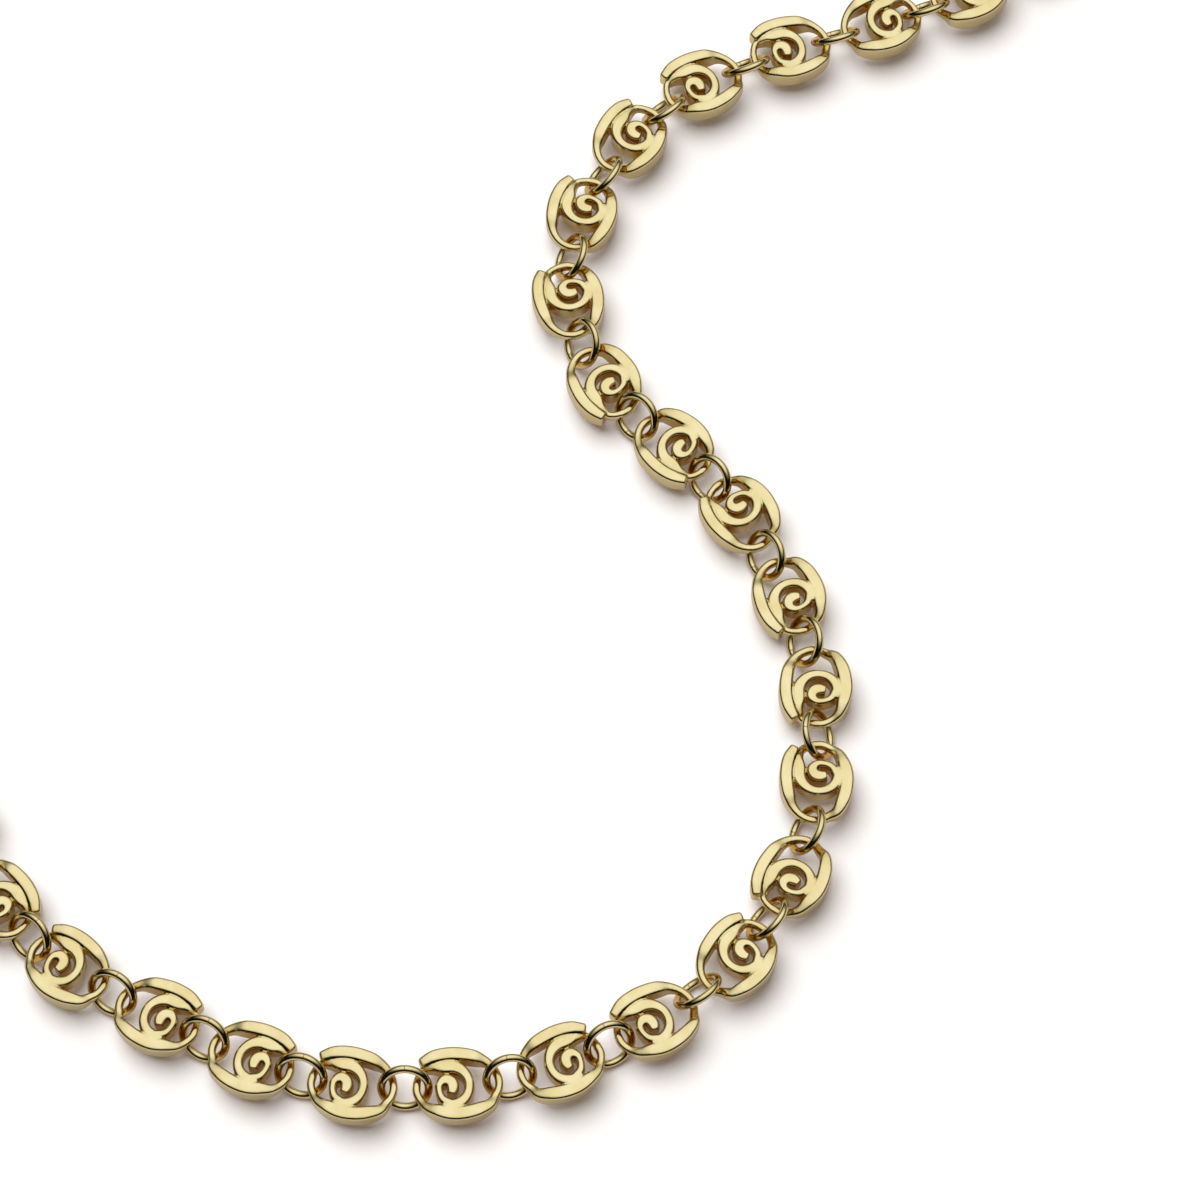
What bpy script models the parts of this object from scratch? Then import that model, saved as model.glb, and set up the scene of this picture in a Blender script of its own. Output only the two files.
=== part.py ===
"""Chain necklace: 27 cast spiral links joined by round jump rings, with a lobster clasp at one end
and a closing ring at the other. It lies in an S on a flat surface, z = 0. Metres, +Z up.

Every link is the same casting: one strip of gold-plated brass wound inwards about 2.7 turns. Links of
type "A" lie with their outer end backwards along the chain, links of type "B" are the same casting
turned over end for end. Each jump ring passes through the open pocket beside a link's end rim, over
one side of the chain and under the other, and so carries the link clear of the surface.
"""
import math

import bmesh
import bpy
from mathutils import Matrix, Vector

MM = 0.001

# ---- driving dimensions, millimetres -------------------------------------------------------------
RIM_PIVOT = 2.35          # a link's end rim is an arc round this point on its long axis, either side
RIM_RADIUS = 3.0          # radius of that arc's centreline
RIM_WIDTH = 1.05          # the rim that a jump ring runs on
RIM_THICK = 1.3
FLAT_SHARE = 0.70         # share of a strand's width that is its flat face, the rest is rounded edge

RING_RADIUS = 3.05        # jump ring, to the middle of its wire
RING_WIRE = 1.1           # wire diameter
RING_TILT = 55.0          # degrees between a ring's plane and the surface
RING_REACH = 4.45         # rim pivot to ring centre
RING_SEGMENTS, WIRE_SEGMENTS = 12, 6

RING_Z = RING_RADIUS * math.sin(math.radians(RING_TILT)) + 0.5 * RING_WIRE
LINK_Z = RING_Z - 0.05    # links hang a little low in their rings

# ---- how the chain lies: one entry per link, link_01 first ---------------------------------------
# heading of each link's long axis in whole degrees, which face is up, and the side of each ring that
# passes over the links (L or R of the direction of travel); jump_ring_01 joins link_01 to link_02
HEADINGS = [-64, -62, -58, -31, -27, -24, -6, 6, 19, 32, 46, 67, 84, 95, 114, 121, 143, 126, 96, 69,
            52, 29, 19, 18, 26, 50, 60]
FACE_UP = "ABBABBAABABABAABAABBBAABBAB"
OVER_SIDE = "LLLLLLLLLRRRLRRRRRRRRRRRRR"
START = (-78.70, -43.44)   # centre of link_01
CLASP_RING_HEADING = -66  # the ring behind link_01
CLASP_HEADING = -68       # along the clasp, from its hook to its loop
CLOSING_RING_HEADING = 66  # the ring in front of link_27
MIDDLE_LINK = 14          # the joints run outwards from this link, towards both ends

# ---- lobster clasp, in its own plan: x away from the chain, loop end first ----------------------
LOOP_RADIUS = 2.0         # middle of the loop's strand
LOOP_AT = -4.75
LOOP_THICK = 1.2
LOOP_SEGMENTS = 14
CLASP_REACH = 1.6         # from the clasp ring's centre to the middle of the loop's far rim
CLASP_PITCH = 9.0         # degrees that the clasp slopes down to the surface
HOUSING_THICK = 3.2
HOUSING = [(-3.1, -1.1), (-2.5, -2.0), (-0.4, -2.3), (0.7, -1.9), (1.0, -0.6), (0.8, 0.9),
           (0.5, 2.3), (-1.2, 2.1), (-2.7, 1.5), (-3.1, 0.9)]
HOOK = [(-0.6, 1.2, 1.6, 2.2), (1.0, 2.35, 1.5, 2.1), (2.9, 2.95, 1.35, 1.9), (4.8, 2.35, 1.3, 1.9),
        (5.85, 0.85, 1.3, 1.8), (5.95, -0.85, 1.2, 1.7), (5.45, -2.2, 1.0, 1.5)]
SLOT = [(-2.55, -4.0), (2.0, -4.0), (2.0, 0.5), (-2.55, 0.5)]
SLOT_WIDTH = 1.5
LEVER = [(4.6, -1.6), (2.6, -1.4), (0.9, -1.1), (-0.5, -0.25), (-1.3, -0.1), (-2.0, -0.6),
         (-2.1, -1.5), (-2.0, -2.2), (-2.2, -3.0), (-1.6, -3.4), (-1.0, -2.7), (-0.3, -2.2),
         (1.0, -2.25), (2.6, -2.55), (3.9, -2.75), (4.5, -2.6), (4.7, -2.1)]
LEVER_LOW, LEVER_HIGH = -0.65, 0.25   # the lever is to one side of the slot, the spring to the other
PIN_AT = (-1.2, -1.0)     # lever pivot
PIN_RADIUS = 0.36
PIN_HOLE = 0.46
PIN_HALF = 1.75           # the riveted ends stand just proud of the housing
SPRING_RADIUS = 0.78
SPRING_WIRE = 0.22
SPRING_Z = 0.5
COIL_START, COIL_SWEEP, COIL_POINTS = 200.0, 230.0, 9   # the spring's bend round the pin
BODY_LEG, LEVER_LEG = (-2.3, -0.35), (-1.75, 0.05)      # where its two legs end

# Spiral casting, type A, in plan: (x along the chain, y across it, width of the strand, thickness).
# The outer turn runs from the squared outer end along the band, round the front rim, through the
# crescent on the near side and round the back rim. Rim stations are (degrees from the long axis,
# width, thickness).
BAND = [(-4.25, 3.32, 1.50, 2.8), (-3.00, 3.86, 1.70, 3.0), (-1.00, 4.12, 1.80, 3.0),
        (1.00, 3.88, 1.80, 3.0), (2.60, 3.42, 1.65, 2.9), (3.88, 2.76, 1.33, 2.2)]
FRONT_RIM = [(24, RIM_WIDTH, RIM_THICK), (0, RIM_WIDTH, RIM_THICK), (-24, RIM_WIDTH, RIM_THICK),
             (-40, 1.25, 1.7)]
CRESCENT = [(4.08, -2.84, 1.50, 2.5), (2.60, -3.60, 1.80, 3.0), (0.60, -3.95, 1.90, 3.0),
            (-1.30, -3.82, 1.90, 3.0), (-2.90, -3.28, 1.70, 3.0), (-4.22, -2.50, 1.35, 2.4)]
BACK_RIM = [(-30, RIM_WIDTH, RIM_THICK), (-6, RIM_WIDTH, RIM_THICK), (18, RIM_WIDTH, RIM_THICK)]
# The second turn leaves the back rim, runs inside the band and comes down to the crescent.
SECOND_START = [(4, 0.96, RIM_THICK), (24, 0.96, RIM_THICK)]
SECOND_TURN = [(-4.28, 2.38, 1.05, 1.7), (-3.10, 2.72, 1.15, 2.5), (-1.70, 2.52, 1.56, 2.7),
               (-0.20, 2.34, 1.62, 2.7), (0.86, 1.58, 1.38, 2.7), (1.44, 0.50, 1.22, 2.7),
               (1.46, -0.70, 1.20, 2.7), (1.00, -1.75, 1.26, 2.8), (0.10, -2.48, 1.42, 2.9),
               (-1.40, -2.78, 1.42, 2.9)]
# The inner curl goes once round the small eye hole and ends in a tongue.
INNER_CURL = [(-1.20, -2.45, 1.20, 2.9), (-2.05, -1.85, 1.10, 2.8), (-2.42, -0.80, 1.00, 2.7),
              (-2.30, 0.16, 1.05, 2.7), (-1.50, 0.76, 1.42, 2.7), (-0.76, 0.32, 1.46, 2.7),
              (-0.66, -0.46, 1.46, 2.7), (-0.88, -1.20, 1.10, 2.7)]

GOLD = (0.86, 0.70, 0.36)
STEEL = (0.62, 0.62, 0.60)


# ---- helpers -------------------------------------------------------------------------------------
def clear_scene():
    for ob in list(bpy.data.objects):
        bpy.data.objects.remove(ob, do_unlink=True)


def material(name, color, roughness):
    """One metal finish."""
    mat = bpy.data.materials.new(name)
    mat.use_nodes = True
    shader = mat.node_tree.nodes["Principled BSDF"]
    shader.inputs["Base Color"].default_value = (*color, 1.0)
    shader.inputs["Metallic"].default_value = 1.0
    shader.inputs["Roughness"].default_value = roughness
    return mat


def new_object(name, bm, mats, parent=None, place=None):
    """An object in the scene from a bmesh in millimetres."""
    bmesh.ops.recalc_face_normals(bm, faces=bm.faces)
    for v in bm.verts:
        v.co *= MM
    mesh = bpy.data.meshes.new(name)
    bm.to_mesh(mesh)
    bm.free()
    return mesh_object(name, mesh, mats, parent, place)


def mesh_object(name, mesh, mats, parent=None, place=None):
    ob = bpy.data.objects.new(name, mesh)
    bpy.context.scene.collection.objects.link(ob)
    if not mesh.materials:
        for m in mats:
            mesh.materials.append(m)
    ob.parent = parent
    ob.matrix_local = place or Matrix.Identity(4)
    return ob


def empty(name, place, parent=None):
    """A joint's empty; what moves about the joint hangs from it."""
    ob = bpy.data.objects.new(name, None)
    bpy.context.scene.collection.objects.link(ob)
    ob.empty_display_size = RING_RADIUS * MM
    ob.parent = parent
    ob.matrix_local = place
    return ob


def smooth(ob, degrees=40):
    """Round pieces are shaded smooth, with their real corners kept sharp."""
    ob.data.shade_smooth()
    bm = bmesh.new()
    bm.from_mesh(ob.data)
    limit = math.radians(degrees)
    for e in bm.edges:
        e.smooth = len(e.link_faces) == 2 and e.calc_face_angle(0.0) < limit
    bm.to_mesh(ob.data)
    bm.free()


def strand_section(width, thick):
    """Half-round-edged bar: (across, up) corners, flat on both faces."""
    flat, half, up = 0.5 * width * FLAT_SHARE, 0.5 * width, 0.5 * thick
    return [(half, 0.0), (flat, up), (-flat, up), (-half, 0.0), (-flat, -up), (flat, -up)]


def strand(stations, z=0.0):
    """A bar swept flat along stations (x, y, width, thickness)."""
    bm = bmesh.new()
    loops = []
    for i, (x, y, width, thick) in enumerate(stations):
        before = stations[max(i - 1, 0)]
        after = stations[min(i + 1, len(stations) - 1)]
        along = Vector((after[0] - before[0], after[1] - before[1], 0.0)).normalized()
        across = Vector((-along.y, along.x, 0.0))
        loops.append([bm.verts.new(Vector((x, y, z + up)) + across * side)
                      for side, up in strand_section(width, thick)])
    join_loops(bm, loops, closed=False)
    return bm


def join_loops(bm, loops, closed):
    count = len(loops[0])
    pairs = list(zip(loops, loops[1:] + loops[:1])) if closed else list(zip(loops, loops[1:]))
    for a, b in pairs:
        for k in range(count):
            n = (k + 1) % count
            bm.faces.new((a[k], a[n], b[n], b[k]))
    if not closed:
        bm.faces.new(list(reversed(loops[0])))
        bm.faces.new(loops[-1])


def round_wire(points, radius, sides=WIRE_SEGMENTS, closed=False):
    """A round wire along a list of points."""
    bm = bmesh.new()
    loops = []
    last = len(points) - 1
    normal = Vector((0.0, 0.0, 1.0))
    for i, p in enumerate(points):
        a = points[i - 1] if closed or i else points[0]
        b = points[(i + 1) % len(points)] if closed or i < last else points[last]
        along = (b - a).normalized()
        normal = (normal - along * normal.dot(along)).normalized()
        side = along.cross(normal)
        loops.append([bm.verts.new(p + radius * (math.cos(t) * side + math.sin(t) * normal))
                      for t in (2 * math.pi * (k + 0.5) / sides for k in range(sides))])
    join_loops(bm, loops, closed)
    return bm


def circle(radius, count, centre=(0.0, 0.0), start=0.0, sweep=360.0):
    """Points of a circle, or of an arc with both its ends."""
    steps = count if sweep == 360.0 else count - 1
    return [Vector((centre[0] + radius * math.cos(math.radians(start + sweep * k / steps)),
                    centre[1] + radius * math.sin(math.radians(start + sweep * k / steps)), 0.0))
            for k in range(count)]


def prism(outline, low, high):
    """A flat plate with a given plan outline."""
    bm = bmesh.new()
    loops = [[bm.verts.new((x, y, z)) for x, y in outline] for z in (low, high)]
    join_loops(bm, loops, closed=False)
    return bm


def cylinder(radius, low, high, centre, sides=12):
    return prism([(p.x, p.y) for p in circle(radius, sides, centre, start=180.0 / sides)], low, high)


def combine(name, first, others, mats, operation="UNION", parent=None, place=None):
    """A solid joined with, or cut by, others, by exact Booleans. Each is a bmesh in millimetres or
    an object."""
    ob = first if isinstance(first, bpy.types.Object) else new_object(name, first, mats)
    tools = [t if isinstance(t, bpy.types.Object) else new_object("tool", t, mats) for t in others]
    for tool in tools:
        mod = ob.modifiers.new("boolean", "BOOLEAN")
        mod.operation = operation
        mod.solver = "EXACT"
        mod.object = tool
    bpy.context.view_layer.update()
    made = bpy.data.meshes.new_from_object(ob.evaluated_get(bpy.context.evaluated_depsgraph_get()))
    for used in [ob, *tools]:
        bpy.data.objects.remove(used, do_unlink=True)
    made.name = name
    return mesh_object(name, made, mats, parent, place)


# ---- the casting ---------------------------------------------------------------------------------
def rim(side, stations):
    """Stations along the strand on an end rim, side +1 at the front and -1 at the back."""
    return [(side * (RIM_PIVOT + RIM_RADIUS * math.cos(math.radians(angle))),
             RIM_RADIUS * math.sin(math.radians(angle)), width, thick)
            for angle, width, thick in stations]


def link_mesh(mats):
    outer = strand(BAND + rim(1, FRONT_RIM) + CRESCENT + rim(-1, BACK_RIM))
    second = strand(rim(-1, SECOND_START) + SECOND_TURN)
    inner = combine("inner_turns", second, [strand(INNER_CURL)], mats)
    ob = combine("spiral_link", outer, [inner], mats)
    smooth(ob)
    mesh = ob.data
    bpy.data.objects.remove(ob, do_unlink=True)
    return mesh


def ring_mesh(mats):
    ob = new_object("jump_ring", round_wire(circle(RING_RADIUS, RING_SEGMENTS), 0.5 * RING_WIRE,
                                            closed=True), mats)
    smooth(ob, 75)
    mesh = ob.data
    bpy.data.objects.remove(ob, do_unlink=True)
    return mesh


# ---- placing the chain ---------------------------------------------------------------------------
def unit(degrees):
    return Vector((math.cos(math.radians(degrees)), math.sin(math.radians(degrees)), 0.0))


def place_at(point, heading, extra=None):
    """Frame with its x along a heading, at a point in millimetres."""
    m = Matrix.Translation(point * MM) @ Matrix.Rotation(math.radians(heading), 4, "Z")
    return m @ extra if extra else m


def lay_chain():
    """Centres of the links and of the rings between them, and the rings' headings."""
    centres = [Vector((START[0], START[1], 0.0))]
    rings, ring_headings = [], []
    for now, after in zip(HEADINGS, HEADINGS[1:]):
        ring_heading = 0.5 * (now + after)
        ring = centres[-1] + unit(now) * RIM_PIVOT + unit(ring_heading) * RING_REACH
        rings.append(ring)
        ring_headings.append(ring_heading)
        centres.append(ring + unit(ring_heading) * RING_REACH + unit(after) * RIM_PIVOT)
    return centres, rings, ring_headings


def spin(axis, degrees):
    return Matrix.Rotation(math.radians(degrees), 4, axis)


def shift(x, y=0.0, z=0.0):
    """Move by so many millimetres."""
    return Matrix.Translation(Vector((x, y, z)) * MM)


def hang(name, mesh, mats, joint, place):
    """A moving piece, hung from an empty that stands on its joint's axis."""
    mesh_object(name, mesh, mats, parent=empty(f"{name}_axis", joint), place=joint.inverted() @ place)


def clasp(joint, gold, steel):
    """Lobster clasp on its turning axis through the loop: housing with its loop and hook, sprung
    lever on a riveted pin."""
    root = empty("clasp", joint)
    plan = shift(-LOOP_AT)
    half = 0.5 * HOUSING_THICK
    far = 2.0 * half
    loop = round_wire(circle(LOOP_RADIUS, LOOP_SEGMENTS, (LOOP_AT, 0.0)), 0.5 * LOOP_THICK,
                      closed=True)
    body = combine("housing", prism(HOUSING, -half, half), [loop, strand(HOOK)], [gold])
    combine("clasp_body", body,
            [prism(SLOT, -0.5 * SLOT_WIDTH, 0.5 * SLOT_WIDTH), cylinder(PIN_HOLE, -far, far, PIN_AT)],
            [gold], operation="DIFFERENCE", parent=root, place=plan)
    combine("clasp_lever", prism(LEVER, LEVER_LOW, LEVER_HIGH),
            [cylinder(PIN_HOLE, -far, far, PIN_AT)], [gold], operation="DIFFERENCE",
            parent=empty("lever_axis", plan @ shift(*PIN_AT), root),
            place=shift(-PIN_AT[0], -PIN_AT[1]))
    new_object("clasp_pin", cylinder(PIN_RADIUS, -PIN_HALF, PIN_HALF, PIN_AT), [steel], parent=root,
               place=plan)
    coil = circle(SPRING_RADIUS, COIL_POINTS, PIN_AT, start=COIL_START, sweep=COIL_SWEEP)
    legs = [Vector((*BODY_LEG, 0.0)), *coil, Vector((*LEVER_LEG, 0.0))]
    wire = round_wire([p + Vector((0.0, 0.0, SPRING_Z)) for p in legs], 0.5 * SPRING_WIRE)
    new_object("clasp_spring", wire, [steel], parent=root, place=plan)


def build():
    clear_scene()
    gold = material("gold_plate", GOLD, 0.16)
    steel = material("spring_steel", STEEL, 0.3)
    link = link_mesh([gold])
    ring = ring_mesh([gold])
    centres, rings, ring_headings = lay_chain()
    up = Vector((0.0, 0.0, 1.0))
    turned_over = spin("Y", 180)

    # a link turns about the centre of the end rim that is nearer to the middle link
    for n, (centre, heading) in enumerate(zip(centres, HEADINGS), start=1):
        outwards = 1 if n >= MIDDLE_LINK else -1
        face = turned_over if FACE_UP[n - 1] == "B" else None
        pivot = centre - outwards * RIM_PIVOT * unit(heading)
        hang(f"link_{n:02d}", link, [gold], place_at(pivot + up * LINK_Z, heading),
             place_at(centre + up * LINK_Z, heading, face))

    # a ring swings about the rim that it hangs on, that of the link nearer to the middle
    front_rim = centres[-1] + unit(HEADINGS[-1]) * RIM_PIVOT
    back_rim = centres[0] - unit(HEADINGS[0]) * RIM_PIVOT
    closing = front_rim + unit(CLOSING_RING_HEADING) * RING_REACH
    back = back_rim - unit(CLASP_RING_HEADING) * RING_REACH
    laid = [(f"jump_ring_{n:02d}", centre, heading, side, 1 if n >= MIDDLE_LINK else -1)
            for n, (centre, heading, side) in enumerate(zip(rings, ring_headings, OVER_SIDE), start=1)]
    laid += [("closing_ring", closing, CLOSING_RING_HEADING, "R", 1),
             ("clasp_ring", back, CLASP_RING_HEADING, "L", -1)]
    for name, centre, heading, side, outwards in laid:
        tilt = RING_TILT if side == "L" else -RING_TILT
        rim_point = centre - outwards * (RING_REACH - RIM_RADIUS) * unit(heading)
        hang(name, ring, [gold], place_at(rim_point + up * LINK_Z, heading),
             place_at(centre + up * RING_Z, heading, spin("X", tilt)))

    # the clasp slopes down to the surface from the middle of its loop's far rim
    loop_rim = back + up * RING_Z - unit(CLASP_HEADING) * CLASP_REACH
    clasp(place_at(loop_rim, CLASP_HEADING + 180, spin("Y", CLASP_PITCH) @ shift(LOOP_RADIUS)),
          gold, steel)


build()
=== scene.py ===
"""Looks of the chain necklace: cast spiral links, round jump rings and a lobster clasp in polished
pale gold, lying in an S on a white table.

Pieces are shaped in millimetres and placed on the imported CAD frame, which is in metres. Every link is
the same casting, and so is every ring the same ring, so each kind shares one mesh.
"""
import math

import bmesh
import bpy
from mathutils import Matrix, Vector


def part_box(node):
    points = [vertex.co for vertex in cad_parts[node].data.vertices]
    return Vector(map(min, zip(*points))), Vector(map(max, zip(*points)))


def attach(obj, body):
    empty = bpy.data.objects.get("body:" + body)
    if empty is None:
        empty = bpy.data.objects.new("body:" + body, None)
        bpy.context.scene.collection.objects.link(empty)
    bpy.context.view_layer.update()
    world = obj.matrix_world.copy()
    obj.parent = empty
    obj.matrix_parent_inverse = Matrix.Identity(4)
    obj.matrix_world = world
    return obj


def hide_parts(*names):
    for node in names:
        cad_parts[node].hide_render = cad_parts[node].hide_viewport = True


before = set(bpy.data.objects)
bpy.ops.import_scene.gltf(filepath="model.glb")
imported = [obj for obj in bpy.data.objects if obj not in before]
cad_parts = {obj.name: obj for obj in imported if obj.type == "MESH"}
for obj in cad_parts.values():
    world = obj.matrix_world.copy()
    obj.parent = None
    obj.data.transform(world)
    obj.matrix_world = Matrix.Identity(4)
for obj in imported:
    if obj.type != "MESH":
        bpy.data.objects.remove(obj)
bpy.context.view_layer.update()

MM = 0.001
UP = Vector((0.0, 0.0, 1.0))

# ---- the chain's dimensions, millimetres ----------------------------------------------------------
RIM_PIVOT, RIM_RADIUS = 2.35, 3.0      # a link's end rims are arcs round two points on its long axis
RIM_WIDTH, RIM_THICK = 1.05, 1.3
RING_RADIUS, RING_WIRE = 3.05, 1.08    # jump ring: middle of its wire, wire diameter
RING_TILT, RING_REACH = 55.0, 4.45     # ring against the table in degrees, rim centre to ring centre
LINK_DROP = 0.05                       # links hang this much below their rings' centres
HEADINGS = [-64, -62, -58, -31, -27, -24, -6, 6, 19, 32, 46, 67, 84, 95, 114, 121, 143, 126, 96, 69,
            52, 29, 19, 18, 26, 50, 60]          # degrees, link_01 first
FACE_UP = "ABBABBAABABABAABAABBBAABBAB"          # B: the casting turned over
OVER_SIDE = "LLLLLLLLLRRRLRRRRRRRRRRRRR"         # the side on which each ring passes over the links
CLASP_RING_HEADING, CLOSING_RING_HEADING = -66, 66
CLASP_HEADING, CLASP_PITCH = -68, 9.0

# ---- the casting in plan: (x along the chain, y across it, width, thickness) ----------------------
EDGE = 0.36                            # radius of the polished edges
CROWN = 0.08                           # how far a strand's faces fall from its middle to its edges
VOXEL, SOFTENING = 0.11, 2             # grain of the melted-together surface, rounds of smoothing
BAND = [(-4.25, 3.34, 1.45, 2.6), (-3.00, 3.86, 1.70, 3.0), (-1.00, 4.12, 1.80, 3.0),
        (1.00, 3.88, 1.80, 3.0), (2.60, 3.42, 1.65, 2.9), (3.88, 2.78, 1.25, 2.0)]
FRONT_RIM = [(24, RIM_WIDTH, RIM_THICK), (0, RIM_WIDTH, RIM_THICK), (-24, RIM_WIDTH, RIM_THICK),
             (-40, 1.16, 1.5)]
CRESCENT = [(4.10, -2.87, 1.42, 2.25), (2.60, -3.60, 1.80, 3.0), (0.60, -3.95, 1.90, 3.0),
            (-1.30, -3.82, 1.90, 3.0), (-2.90, -3.28, 1.70, 3.0), (-4.25, -2.54, 1.27, 2.15)]
BACK_RIM = [(-30, RIM_WIDTH, RIM_THICK), (-6, RIM_WIDTH, RIM_THICK), (18, RIM_WIDTH, RIM_THICK)]
SECOND_START = [(4, 0.96, RIM_THICK), (24, 0.96, RIM_THICK)]
SECOND_TURN = [(-4.30, 2.40, 1.00, 1.5), (-3.10, 2.62, 1.18, 2.3), (-1.70, 2.48, 1.72, 2.7),
               (-0.20, 2.32, 1.78, 2.7), (0.84, 1.58, 1.52, 2.7), (1.42, 0.50, 1.34, 2.7),
               (1.44, -0.70, 1.30, 2.7), (1.00, -1.75, 1.36, 2.8), (0.10, -2.50, 1.50, 2.9),
               (-1.40, -2.80, 1.50, 2.9)]
INNER_CURL = [(-1.20, -2.45, 1.20, 2.9), (-2.05, -1.85, 1.10, 2.8), (-2.42, -0.80, 1.00, 2.7),
              (-2.30, 0.16, 1.14, 2.7), (-1.50, 0.72, 1.55, 2.7), (-0.76, 0.30, 1.64, 2.7),
              (-0.66, -0.46, 1.60, 2.7), (-0.88, -1.20, 1.20, 2.7)]
# A low bar that fills the seam where the turns run together.
SEAM_FILL = [(-2.20, -2.75, 0.90, 2.75), (-1.40, -2.95, 1.20, 2.90), (-0.30, -3.05, 1.00, 2.85),
             (0.35, -2.95, 0.60, 2.60)]

# ---- the lobster clasp in plan: x from its loop to its hook, y towards its back, z across it -------
LOOP_RADIUS, LOOP_AT, LOOP_THICK = 2.0, -4.75, 1.2
CLASP_REACH = 1.6                      # clasp ring's centre to the middle of the loop's far rim
HOUSING_HALF = 1.6
HOUSING = [(-3.1, -1.1), (-2.5, -2.0), (-0.4, -2.3), (0.7, -1.9), (1.0, -0.6), (0.8, 0.9),
           (0.5, 2.3), (-1.2, 2.1), (-2.7, 1.5), (-3.1, 0.9)]
HOOK = [(-0.6, 1.2, 1.6, 2.2), (1.0, 2.35, 1.5, 2.1), (2.9, 2.95, 1.35, 1.9), (4.8, 2.35, 1.3, 1.9),
        (5.85, 0.85, 1.3, 1.8), (5.95, -0.85, 1.2, 1.7), (5.45, -2.2, 1.0, 1.5)]
SLOT = [(-2.55, -4.0), (2.0, -4.0), (2.0, 0.5), (-2.55, 0.5)]
SLOT_HALF = 0.75
LEVER = [(4.6, -1.6), (2.6, -1.4), (0.9, -1.1), (-0.5, -0.25), (-1.3, -0.1), (-2.0, -0.6),
         (-2.1, -1.5), (-2.0, -2.2), (-2.2, -3.0), (-1.6, -3.4), (-1.0, -2.7), (-0.3, -2.2),
         (1.0, -2.25), (2.6, -2.55), (3.9, -2.75), (4.5, -2.6), (4.7, -2.1)]
LEVER_LOW, LEVER_HIGH = -0.65, 0.25
PIN_AT, PIN_RADIUS, PIN_HOLE = (-1.2, -1.0), 0.36, 0.46
PIN_PROFILE = [(0.0, 1.75), (0.18, 1.745), (0.34, 1.72), (0.47, 1.68), (0.55, 1.62), (0.56, 1.57),
               (0.50, 1.54), (PIN_RADIUS, 1.52)]            # (radius, height) of a riveted end
SPRING_RADIUS, SPRING_WIRE = 0.76, 0.19
SPRING_LOW, SPRING_HIGH, SPRING_TURNS = 0.38, 0.61, 1.6
SPRING_START = 200.0                   # where round the pin the coil begins, degrees
BODY_LEG, LEVER_LEG = (-2.3, -0.35), (-1.75, 0.05)
HOUSING_VOXEL, LEVER_VOXEL = 0.11, 0.07
THROUGH = 4.0                          # half the length of a cutter that passes right through

# ---- camera --------------------------------------------------------------------------------------
CAMERA_DISTANCE, CAMERA_ELEVATION, CAMERA_LENS = 0.650, 67.0, 144.6
CAMERA_TARGET = Vector((0.0130, -0.0235, 0.0))

# ---- light ---------------------------------------------------------------------------------------
TENT_MIRRORED, TENT_FILL, TENT_AXIS = 1.06, 0.48, (0.10, 0.35, 1.0)
TENT_RAMP = [(0.42, (0.006, 0.005, 0.003)), (0.64, (0.22, 0.21, 0.17)), (0.84, (0.80, 0.80, 0.76)),
             (0.96, (1.0, 1.0, 1.0))]
KEY_STRENGTH, KEY_SPREAD, KEY_FROM = 3.3, 62.0, (-0.32, 0.40, 1.0)
TABLE_HALF, TABLE_GAP = 3.0, 0.0002    # metres; the gap keeps it clear of the lowest rings
TABLE_GLOW = (0.085, 0.058, 0.048)     # keeps the shaded table from going grey


# ---- geometry helpers, millimetres ---------------------------------------------------------------
def unit(degrees):
    return Vector((math.cos(math.radians(degrees)), math.sin(math.radians(degrees)), 0.0))


def place_at(point, heading, extra=None):
    """Frame in metres with its x along a heading, at a point in millimetres."""
    m = Matrix.Translation(point * MM) @ Matrix.Rotation(math.radians(heading), 4, "Z")
    return m @ extra if extra else m


def spin(axis, degrees):
    return Matrix.Rotation(math.radians(degrees), 4, axis)


def smooth_path(stations, step=0.12):
    """Stations on one smooth curve through the given ones, evenly spaced."""
    pts = [Vector(s) for s in stations]
    gaps = [max((b.xy - a.xy).length, 1e-6) for a, b in zip(pts, pts[1:])]
    slopes = []
    for i in range(len(pts)):
        if i == 0:
            slopes.append((pts[1] - pts[0]) / gaps[0])
        elif i == len(pts) - 1:
            slopes.append((pts[-1] - pts[-2]) / gaps[-1])
        else:
            a, b = gaps[i - 1], gaps[i]
            before, after = (pts[i] - pts[i - 1]) / a, (pts[i + 1] - pts[i]) / b
            slopes.append((before * b + after * a) / (a + b))
    out = []
    for i, gap in enumerate(gaps):
        count = max(2, round(gap / step))
        for k in range(count):
            t = k / count
            out.append(pts[i] * (2 * t**3 - 3 * t**2 + 1) + slopes[i] * gap * (t**3 - 2 * t**2 + t)
                       + pts[i + 1] * (3 * t**2 - 2 * t**3) + slopes[i + 1] * gap * (t**3 - t**2))
    return out + [pts[-1]]


def bar_section(width, thick, edge=EDGE, crown=CROWN):
    """Bar with rounded edges and slightly domed faces: (across, up) points."""
    a, b = 0.5 * width, 0.5 * thick
    r = min(edge, 0.97 * a, 0.97 * b)
    pts = []
    for sx, sy, start in ((1, 1, 0), (-1, 1, 90), (-1, -1, 180), (1, -1, 270)):
        for k in range(6):
            t = math.radians(start + 18 * k)
            pts.append((sx * (a - r) + r * math.cos(t), sy * (b - r) + r * math.sin(t)))
        if start in (0, 180):
            pts += [(sx * (a - r) * f, sy * b) for f in (0.6, 0.2, -0.2, -0.6)]
    return [(x, y - math.copysign(crown, y) * (x / a) ** 2 * abs(y) / b) for x, y in pts]


def join_loops(bm, loops, closed=False):
    """Skin between loops of as many points each, capped at both ends if open."""
    count = len(loops[0])
    pairs = list(zip(loops, loops[1:] + loops[:1])) if closed else list(zip(loops, loops[1:]))
    for a, b in pairs:
        for k in range(count):
            n = (k + 1) % count
            bm.faces.new((a[k], a[n], b[n], b[k]))
    if not closed:
        bm.faces.new(list(reversed(loops[0])))
        bm.faces.new(loops[-1])


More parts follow.
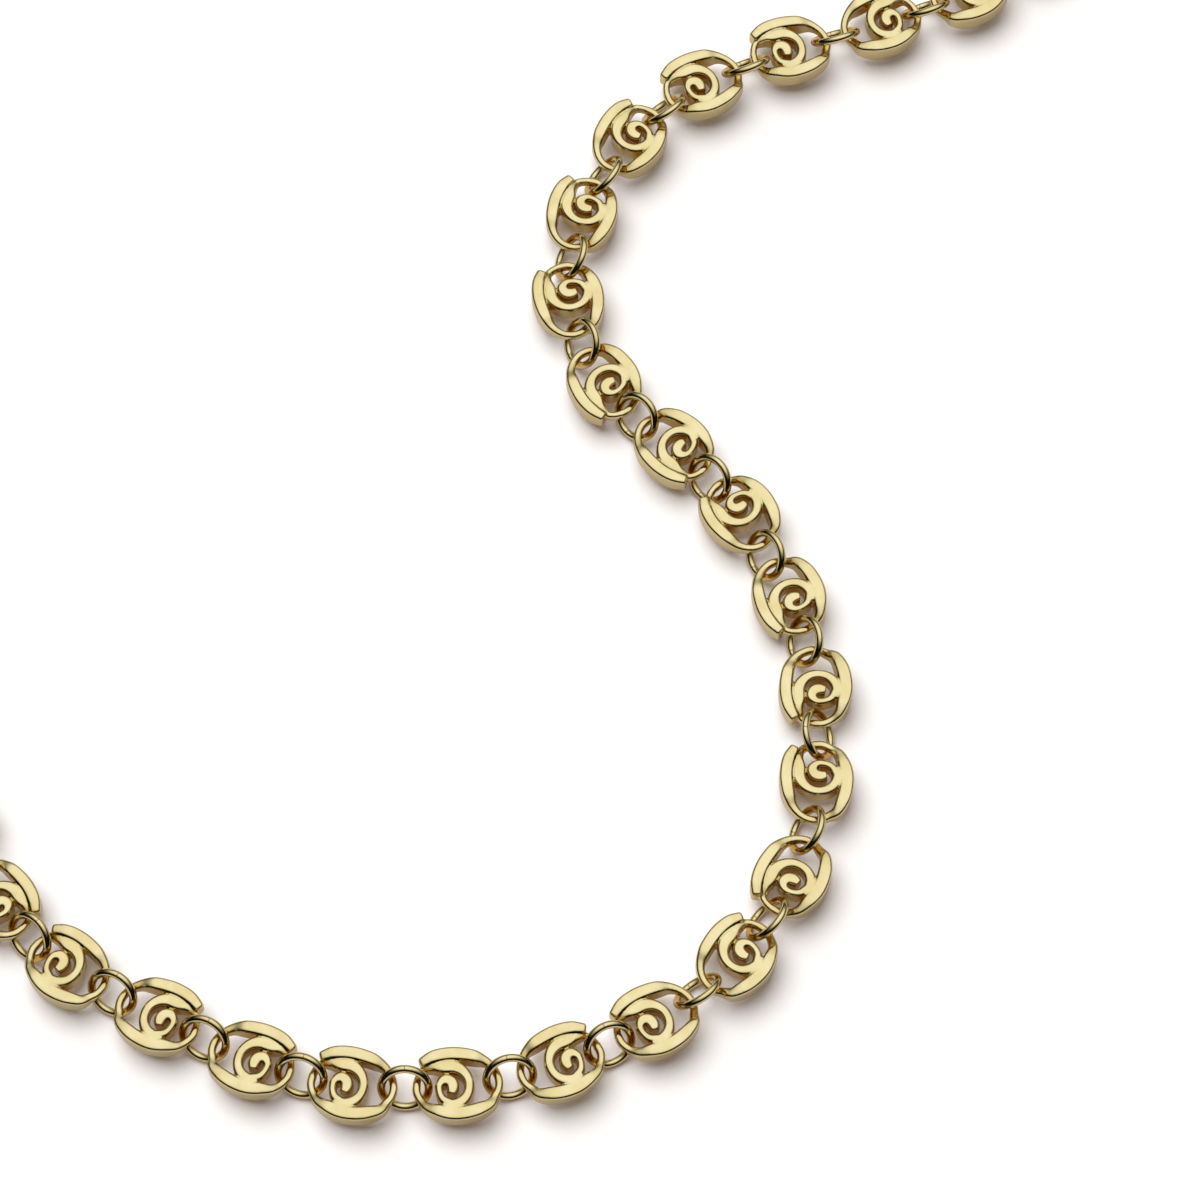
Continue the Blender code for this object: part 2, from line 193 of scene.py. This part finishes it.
def add_strand(bm, stations, round_start=0.0):
    """A rounded bar swept flat along stations; its start is rounded over that length."""
    path = smooth_path(stations)
    if round_start:
        first, along = path[0].copy(), (path[1].xy - path[0].xy).normalized()
        cap = []
        for k in range(5):
            t = math.radians(90 * k / 5)
            inset = 2 * round_start * (1 - math.sin(t))
            back = round_start * math.cos(t)
            cap.append(Vector((first.x - along.x * back, first.y - along.y * back,
                               first.z - inset, first.w - inset)))
        path = cap + path
    loops = []
    for i, s in enumerate(path):
        before, after = path[max(i - 1, 0)], path[min(i + 1, len(path) - 1)]
        along = Vector((after.x - before.x, after.y - before.y, 0.0)).normalized()
        across = Vector((-along.y, along.x, 0.0))
        loops.append([bm.verts.new(Vector((s.x, s.y, up)) + across * side)
                      for side, up in bar_section(s.z, s.w)])
    join_loops(bm, loops)


def mesh_from(bm, name):
    bmesh.ops.recalc_face_normals(bm, faces=bm.faces)
    mesh = bpy.data.meshes.new(name)
    bm.to_mesh(mesh)
    bm.free()
    return mesh


def finished(mesh, name, modifiers):
    """The mesh with modifiers applied, in metres and shaded smooth."""
    ob = bpy.data.objects.new(name, mesh)
    bpy.context.scene.collection.objects.link(ob)
    for kind, settings in modifiers:
        mod = ob.modifiers.new(kind.lower(), kind)
        for key, value in settings.items():
            setattr(mod, key, value)
    bpy.context.view_layer.update()
    made = bpy.data.meshes.new_from_object(ob.evaluated_get(bpy.context.evaluated_depsgraph_get()))
    bpy.data.objects.remove(ob, do_unlink=True)
    made.name = name
    made.transform(Matrix.Scale(MM, 4))
    made.shade_smooth()
    return made


def melting(voxel, rounds):
    """Modifiers that melt overlapping closed shapes into one surface with soft creases."""
    return [("REMESH", {"mode": "VOXEL", "voxel_size": voxel}),
            ("SMOOTH", {"factor": 0.5, "iterations": rounds})]


# ---- the casting ---------------------------------------------------------------------------------
def rim(side, stations):
    return [(side * (RIM_PIVOT + RIM_RADIUS * math.cos(math.radians(a))),
             RIM_RADIUS * math.sin(math.radians(a)), width, thick) for a, width, thick in stations]


def link_mesh():
    bm = bmesh.new()
    add_strand(bm, BAND + rim(1, FRONT_RIM) + CRESCENT + rim(-1, BACK_RIM), round_start=0.35)
    add_strand(bm, rim(-1, SECOND_START) + SECOND_TURN)
    add_strand(bm, INNER_CURL)
    add_strand(bm, SEAM_FILL)
    return finished(mesh_from(bm, "casting_strands"), "spiral_casting", melting(VOXEL, SOFTENING))


# ---- the ring ------------------------------------------------------------------------------------
SEAM_ANGLE, SEAM_DEPTH, SEAM_HALF = 90.0, 0.05, 0.035   # where the wire's ends meet


def ring_mesh():
    """Round wire bent to a circle, its two cut ends pressed together at a fine seam."""
    bm = bmesh.new()
    seam = math.radians(SEAM_ANGLE)
    half = SEAM_HALF / RING_RADIUS
    turn = [seam + half * f for f in (-3, -2, -1, 0, 1, 2, 3)]
    steps = 90
    turn += [seam + 3 * half + (2 * math.pi - 6 * half) * k / steps for k in range(1, steps)]
    loops = []
    for t in turn:
        off = abs((t - seam + math.pi) % (2 * math.pi) - math.pi) / half
        r = 0.5 * RING_WIRE - SEAM_DEPTH * max(0.0, 1.0 - off / 1.6)
        out = Vector((math.cos(t), math.sin(t), 0.0))
        loops.append([bm.verts.new(out * (RING_RADIUS + r * math.cos(a)) + UP * r * math.sin(a))
                      for a in (2 * math.pi * k / 28 for k in range(28))])
    join_loops(bm, loops, closed=True)
    return finished(mesh_from(bm, "ring_wire"), "jump_ring_wire", [])


# ---- the clasp -----------------------------------------------------------------------------------
def add_prism(bm, outline, low, high):
    """A plan outline between two heights, as one closed shape."""
    rings = [[bm.verts.new((x, y, z)) for x, y in outline] for z in (low, high)]
    join_loops(bm, rings)


def add_wire(bm, path, radius, closed=False, count=20):
    """Round wire along a path of points."""
    loops = []
    for i, p in enumerate(path):
        if closed:
            before, after = path[i - 1], path[(i + 1) % len(path)]
        else:
            before, after = path[max(i - 1, 0)], path[min(i + 1, len(path) - 1)]
        along = (after - before).normalized()
        side = along.cross(UP).normalized()
        up = side.cross(along)
        turns = (2 * math.pi * k / count for k in range(count))
        loops.append([bm.verts.new(p + radius * (side * math.cos(a) + up * math.sin(a)))
                      for a in turns])
    join_loops(bm, loops, closed)


def rounded(outline, rounds=2):
    """A plan outline with its corners cut to a curve."""
    pts = [Vector(p) for p in outline]
    for _ in range(rounds):
        pts = [q for a, b in zip(pts, pts[1:] + pts[:1]) for q in (a.lerp(b, 0.2), a.lerp(b, 0.8))]
    return [(p.x, p.y) for p in pts]


def circle(radius, count, at=(0.0, 0.0), z=0.0):
    return [Vector((at[0] + radius * math.cos(a), at[1] + radius * math.sin(a), z))
            for a in (2 * math.pi * k / count for k in range(count))]


def cut_and_melted(bm, name, cuts, voxel):
    """The shapes melted together, prisms cut out of them, and the cut edges softened."""
    body = finished(mesh_from(bm, name + "_shapes"), name, melting(voxel, 2))
    body.transform(Matrix.Scale(1 / MM, 4))
    knives = []
    for outline, half in cuts:
        knife_bm = bmesh.new()
        add_prism(knife_bm, outline, -half, half)
        knife = bpy.data.objects.new("knife", mesh_from(knife_bm, "knife"))
        bpy.context.scene.collection.objects.link(knife)
        knives.append(knife)
    cutting = [("BOOLEAN", {"object": knife, "operation": "DIFFERENCE", "solver": "EXACT"})
               for knife in knives]
    made = finished(body, name, cutting + melting(voxel, 4))
    for knife in knives:
        bpy.data.objects.remove(knife, do_unlink=True)
    return made


def pin_hole():
    return [(p.x, p.y) for p in circle(PIN_HOLE, 32, PIN_AT)]


def clasp_body_mesh():
    bm = bmesh.new()
    add_prism(bm, rounded(HOUSING), -HOUSING_HALF, HOUSING_HALF)
    add_strand(bm, HOOK)
    add_wire(bm, circle(LOOP_RADIUS, 64, (LOOP_AT, 0.0)), 0.5 * LOOP_THICK, closed=True)
    cuts = [(SLOT, SLOT_HALF), (pin_hole(), THROUGH)]
    return cut_and_melted(bm, "clasp_housing", cuts, HOUSING_VOXEL)


def clasp_lever_mesh():
    bm = bmesh.new()
    add_prism(bm, rounded(LEVER), LEVER_LOW, LEVER_HIGH)
    return cut_and_melted(bm, "clasp_lever_arm", [(pin_hole(), THROUGH)], LEVER_VOXEL)


def clasp_pin_mesh():
    """Rivet: a straight pin with a low domed head at each end."""
    profile = PIN_PROFILE + [(r, -z) for r, z in reversed(PIN_PROFILE)]
    bm = bmesh.new()
    loops = [[bm.verts.new(p) for p in circle(max(r, 0.02), 40, PIN_AT, z)] for r, z in profile]
    join_loops(bm, loops)
    return finished(mesh_from(bm, "rivet"), "clasp_rivet", [])


def clasp_spring_mesh():
    """Wire coiled round the pin, one leg in the housing and one on the lever."""
    steps = 72
    centre = Vector((*PIN_AT, SPRING_LOW))
    coil = []
    for k in range(steps + 1):
        f = k / steps
        turned = unit(SPRING_START + 360.0 * SPRING_TURNS * f)
        coil.append(centre + SPRING_RADIUS * turned + UP * (SPRING_HIGH - SPRING_LOW) * f)
    bm = bmesh.new()
    path = [Vector((*BODY_LEG, SPRING_LOW)), *coil, Vector((*LEVER_LEG, SPRING_HIGH))]
    add_wire(bm, path, 0.5 * SPRING_WIRE, count=14)
    return finished(mesh_from(bm, "spring_wire"), "clasp_torsion_spring", [])


# ---- materials -----------------------------------------------------------------------------------
GOLD_TONES = (0.80, 0.67, 0.335, 1.0), (0.87, 0.755, 0.43, 1.0)
GOLD_PAINTED_SHADE_IN_HOLLOWS = (0.72, 0.45, 0.085, 1.0)     # painted shade and reflection: deeper amber where gold mirrors gold
HOLLOW_RANGE = 0.40, 0.495                     # pointiness of creases, and of flat faces
SHELTER_REACH, SHELTER_RANGE = 0.0016, (0.45, 0.95)      # metres; enclosed walls to open faces, for the painted shade
GOLD_ROUGHNESS = 0.09, 0.19
STEEL_TONES = (0.50, 0.50, 0.49, 1.0), (0.66, 0.66, 0.65, 1.0)
STEEL_ROUGHNESS = 0.18, 0.34
TABLE_TONES = (0.88, 0.875, 0.875, 1.0), (0.91, 0.905, 0.905, 1.0)
TABLE_SHADOW_PAINTED_IN_MIRRORS = (0.56, 0.53, 0.50, 1.0)       # painted shadow: how much darker the table is as metal mirrors it


class Shading:
    """A material's node graph under construction."""

    def __init__(self, name, metallic=0.0):
        self.material = bpy.data.materials.new(name)
        self.material.use_nodes = True
        self.nodes, self.links = self.material.node_tree.nodes, self.material.node_tree.links
        self.shader = self.nodes["Principled BSDF"]
        self.shader.inputs["Metallic"].default_value = metallic

    def add(self, kind, **inputs):
        """A node with inputs set: a link for an output socket, else a value."""
        node = self.nodes.new("ShaderNode" + kind)
        for name, value in inputs.items():
            self.feed(node.inputs[name.replace("_", " ")], value)
        return node

    def feed(self, socket, value):
        if isinstance(value, bpy.types.NodeSocket):
            self.links.new(value, socket)
        else:
            socket.default_value = value

    def noise(self, vector, scale, detail=2.0):
        return self.add("TexNoise", Vector=vector, Scale=scale, Detail=detail).outputs["Fac"]

    def tones(self, amount, colors, positions=(0.0, 1.0)):
        node = self.add("ValToRGB", Fac=amount)
        for stop, color, position in zip(node.color_ramp.elements, colors, positions):
            stop.color, stop.position = color, position
        return node.outputs["Color"]

    def spread(self, amount, into=(0.0, 1.0), out_of=(0.0, 1.0)):
        return self.add("MapRange", Value=amount, From_Min=out_of[0], From_Max=out_of[1],
                        To_Min=into[0], To_Max=into[1]).outputs["Result"]

    def bump(self, height, strength, distance, under=None):
        node = self.add("Bump", Height=height, Strength=strength, Distance=distance)
        if under:
            self.links.new(under, node.inputs["Normal"])
        return node.outputs["Normal"]

    def mix(self, factor, a, b, blend="MIX"):
        node = self.nodes.new("ShaderNodeMix")
        node.data_type, node.blend_type = "RGBA", blend
        for name, value in (("Factor", factor), ("A", a), ("B", b)):
            self.feed(node.inputs[name], value)
        return node.outputs["Result"]


def gold_material(name):
    """Polished pale gold plate: slight tone changes, painted shade and reflection in creases, uneven
    polish, orange peel, hair scratches.
    """
    g = Shading(name, metallic=1.0)
    shift = g.nodes.new("ShaderNodeVectorMath")
    shift.operation = "ADD"
    g.links.new(g.add("TexCoord").outputs["Object"], shift.inputs[0])
    g.links.new(g.add("ObjectInfo").outputs["Random"], shift.inputs[1])
    spot = shift.outputs[0]

    tone = g.tones(g.noise(spot, 350.0), GOLD_TONES, (0.35, 0.65))
    # Painted shade and reflection: creases and sheltered walls take a deeper amber gold in the base
    # colour.
    flat = g.spread(g.add("NewGeometry").outputs["Pointiness"], out_of=HOLLOW_RANGE)
    shelter = g.add("AmbientOcclusion", Distance=SHELTER_REACH)
    shelter.samples = 6
    exposed = g.nodes.new("ShaderNodeMath")
    exposed.operation = "MULTIPLY"
    g.links.new(g.spread(shelter.outputs["AO"], out_of=SHELTER_RANGE), exposed.inputs[0])
    g.links.new(flat, exposed.inputs[1])
    g.feed(g.shader.inputs["Base Color"], g.mix(exposed.outputs["Value"], GOLD_PAINTED_SHADE_IN_HOLLOWS, tone))

    g.feed(g.shader.inputs["Roughness"], g.spread(g.noise(spot, 900.0, 4.0), into=GOLD_ROUGHNESS))

    along = g.add("Mapping", Vector=spot, Scale=(1.0, 22.0, 1.0), Rotation=(0.0, 0.0, 0.6))
    peel = g.bump(g.noise(spot, 1400.0), 0.25, 0.00002)
    hairs = g.bump(g.noise(along.outputs["Vector"], 900.0, 5.0), 0.12, 0.00001, under=peel)
    g.feed(g.shader.inputs["Normal"], hairs)
    return g.material


def steel_material():
    """Bright drawn spring steel, finely marked."""
    g = Shading("spring_steel", metallic=1.0)
    grain = g.noise(g.add("TexCoord").outputs["Object"], 2500.0, 4.0)
    g.feed(g.shader.inputs["Base Color"], g.tones(grain, STEEL_TONES))
    g.feed(g.shader.inputs["Roughness"], g.spread(grain, into=STEEL_ROUGHNESS))
    g.feed(g.shader.inputs["Normal"], g.bump(grain, 0.2, 0.00001))
    return g.material


def floor_material():
    """Matt white table, with the faintest unevenness, and a painted shadow where metal mirrors it."""
    g = Shading("white_table")
    g.shader.inputs["Specular IOR Level"].default_value = 0.1
    g.shader.inputs["Roughness"].default_value = 0.8
    g.shader.inputs["Emission Color"].default_value = (*TABLE_GLOW, 1.0)
    g.shader.inputs["Emission Strength"].default_value = 1.0
    white = g.tones(g.noise(g.add("TexCoord").outputs["Object"], 30.0), TABLE_TONES)
    # Painted shadow: the whole table is darker as metal mirrors it, standing in for the soft shadow the
    # metal casts there.
    mirrored = g.add("LightPath").outputs["Is Glossy Ray"]
    g.feed(g.shader.inputs["Base Color"], g.mix(mirrored, white, TABLE_SHADOW_PAINTED_IN_MIRRORS, "MULTIPLY"))
    return g.material


# ---- placing pieces ------------------------------------------------------------------------------
def piece(name, mesh, mat, place, body, nodes):
    """A visible piece in place of CAD nodes, riding on their body."""
    if not mesh.materials:
        mesh.materials.append(mat)
    ob = bpy.data.objects.new(name, mesh)
    bpy.context.scene.collection.objects.link(ob)
    ob.matrix_world = place
    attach(ob, body)
    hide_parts(*nodes)
    return ob


def middle(node):
    """Centre of a CAD node's box, millimetres."""
    low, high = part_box(node)
    return (Vector(low) + Vector(high)) * (0.5 / MM)


gold = gold_material("polished_gold")
link = link_mesh()
ring = ring_mesh()

ring_headings = [0.5 * (a + b) for a, b in zip(HEADINGS, HEADINGS[1:])]
for n, (heading, side) in enumerate(zip(ring_headings, OVER_SIDE), start=1):
    node = f"jump_ring_{n:02d}"
    tilt = RING_TILT if side == "L" else -RING_TILT
    piece(f"ring_{n:02d}", ring, gold, place_at(middle(node), heading, spin("X", tilt)), node, [node])
piece("ring_closing", ring, gold,
      place_at(middle("closing_ring"), CLOSING_RING_HEADING, spin("X", -RING_TILT)),
      "closing_ring", ["closing_ring"])
piece("ring_clasp", ring, gold,
      place_at(middle("clasp_ring"), CLASP_RING_HEADING, spin("X", RING_TILT)),
      "clasp_ring", ["clasp_ring"])

for n, (heading, face) in enumerate(zip(HEADINGS, FACE_UP), start=1):
    node = f"link_{n:02d}"
    if n < len(HEADINGS):
        away = -1
        ring_centre, ring_heading = middle(f"jump_ring_{n:02d}"), ring_headings[n - 1]
    else:
        away = 1
        ring_centre, ring_heading = middle(f"jump_ring_{n - 1:02d}"), ring_headings[-1]
    centre = ring_centre + away * (RING_REACH * unit(ring_heading) + RIM_PIVOT * unit(heading))
    centre -= UP * LINK_DROP
    turned = spin("Y", 180) if face == "B" else None
    piece(f"spiral_{n:02d}", link, gold, place_at(centre, heading, turned), node, [node])

steel = steel_material()
loop_rim = middle("clasp_ring") - CLASP_REACH * unit(CLASP_HEADING)
clasp_place = place_at(loop_rim, CLASP_HEADING + 180, spin("Y", CLASP_PITCH)
                       @ Matrix.Translation(Vector((LOOP_RADIUS - LOOP_AT, 0.0, 0.0)) * MM))
piece("clasp_housing_and_hook", clasp_body_mesh(), gold, clasp_place, "clasp", ["clasp_body"])
piece("clasp_thumb_lever", clasp_lever_mesh(), gold, clasp_place, "clasp_lever", ["clasp_lever"])
piece("clasp_rivet", clasp_pin_mesh(), steel, clasp_place, "clasp", ["clasp_pin"])
piece("clasp_spring_coil", clasp_spring_mesh(), steel, clasp_place, "clasp", ["clasp_spring"])

# ---- table, lights and camera --------------------------------------------------------------------
floor_mesh = bpy.data.meshes.new("table")
floor_mesh.from_pydata([(x * TABLE_HALF, y * TABLE_HALF, 0.0)
                        for x, y in ((-1, -1), (1, -1), (1, 1), (-1, 1))], [], [(0, 1, 2, 3)])
floor_mesh.materials.append(floor_material())
floor = bpy.data.objects.new("table", floor_mesh)
bpy.context.scene.collection.objects.link(floor)
floor.location.z = -TABLE_GAP

key_data = bpy.data.lights.new("key", "SUN")
key_data.energy = KEY_STRENGTH
key_data.angle = math.radians(KEY_SPREAD)
key = bpy.data.objects.new("key", key_data)
bpy.context.scene.collection.objects.link(key)
key.rotation_euler = Vector(KEY_FROM).to_track_quat("Z", "Y").to_euler()
key.visible_glossy = False

# A white overhead tent that ends in a dark band above the table, lower on the far side: polished
# faces mirror the tent, and their edges draw the band as a dark line.
world = bpy.data.worlds.new("studio")
bpy.context.scene.world = world
world.use_nodes = True
wn, wl = world.node_tree.nodes, world.node_tree.links
tent = wn["Background"]
direction = wn.new("ShaderNodeTexCoord")
height = wn.new("ShaderNodeVectorMath")
height.operation = "DOT_PRODUCT"
height.inputs[1].default_value = Vector(TENT_AXIS).normalized()
band = wn.new("ShaderNodeValToRGB")
stops = band.color_ramp.elements
while len(stops) < len(TENT_RAMP):
    stops.new(0.5)
for stop, (position, color) in zip(stops, TENT_RAMP):
    stop.position, stop.color = position, (*color, 1.0)
seen = wn.new("ShaderNodeLightPath")
level = wn.new("ShaderNodeMapRange")        # the tent as metal mirrors it, and as it fills shadows
level.inputs["To Min"].default_value = TENT_FILL
level.inputs["To Max"].default_value = TENT_MIRRORED
wl.new(direction.outputs["Generated"], height.inputs[0])
wl.new(height.outputs["Value"], band.inputs["Fac"])
wl.new(band.outputs["Color"], tent.inputs["Color"])
wl.new(seen.outputs["Is Glossy Ray"], level.inputs["Value"])
wl.new(level.outputs["Result"], tent.inputs["Strength"])
backdrop = wn.new("ShaderNodeBackground")
backdrop.inputs["Color"].default_value = (1.0, 1.0, 1.0, 1.0)
mixed = wn.new("ShaderNodeMixShader")
wl.new(seen.outputs["Is Camera Ray"], mixed.inputs["Fac"])
wl.new(tent.outputs["Background"], mixed.inputs[1])
wl.new(backdrop.outputs["Background"], mixed.inputs[2])
wl.new(mixed.outputs["Shader"], wn["World Output"].inputs["Surface"])

camera_data = bpy.data.cameras.new("camera")
camera_data.lens = CAMERA_LENS
camera_data.sensor_width = 36.0
camera_data.clip_start = 0.01
camera = bpy.data.objects.new("camera", camera_data)
bpy.context.scene.collection.objects.link(camera)
tilt = math.radians(CAMERA_ELEVATION)
camera.location = CAMERA_TARGET + CAMERA_DISTANCE * Vector((0.0, -math.cos(tilt), math.sin(tilt)))
camera.rotation_euler = (math.radians(90.0 - CAMERA_ELEVATION), 0.0, 0.0)
bpy.context.scene.camera = camera
bpy.context.scene.view_settings.view_transform = "Standard"
